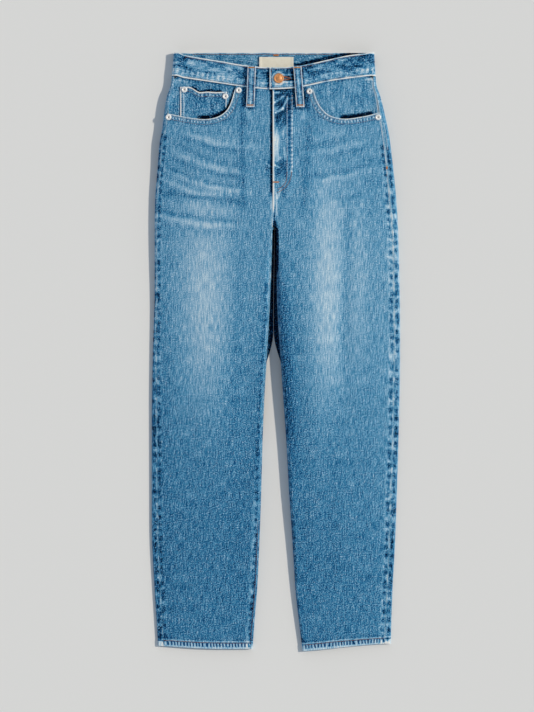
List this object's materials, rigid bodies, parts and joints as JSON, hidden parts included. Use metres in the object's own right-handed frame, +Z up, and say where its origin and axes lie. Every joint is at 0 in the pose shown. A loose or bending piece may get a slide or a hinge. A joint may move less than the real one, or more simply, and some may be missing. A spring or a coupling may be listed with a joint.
{
  "type": "balloon jeans",
  "caption": "High-waisted jeans with curved legs that narrow to the hems, buttoned and laid flat on their back.",
  "frame": {"origin": "middle of the footprint, on the surface that the jeans lie on", "axes": "+Y runs from the hems to the waist, +X to the wearer's left, and +Z up out of the surface"},
  "size_m": [0.4467, 1.076, 0.0303],
  "materials": {
    "denim": "washed mid-blue denim",
    "button_metal": "worn copper plate",
    "rivet_metal": "nickel",
    "label_cloth": "blank cream twill"
  },
  "bodies": {
    "root": {"front_right": "denim", "back_right": "denim", "yoke_right": "denim", "facing_right": "denim", "back_pocket_right": "denim", "front_left": "denim", "back_left": "denim", "yoke_left": "denim", "facing_left": "denim", "back_pocket_left": "denim", "coin_pocket": "denim", "waistband": "denim", "loop_front_right": "denim", "loop_front_left": "denim", "loop_back_right": "denim", "loop_back_middle": "denim", "loop_back_left": "denim", "button": "button_metal", "rivet_right_band": "rivet_metal", "rivet_right_side": "rivet_metal", "rivet_left_band": "rivet_metal", "rivet_left_side": "rivet_metal", "rivet_coin_outer": "rivet_metal", "rivet_coin_inner": "rivet_metal", "label": "label_cloth"}
  },
  "joints": []
}
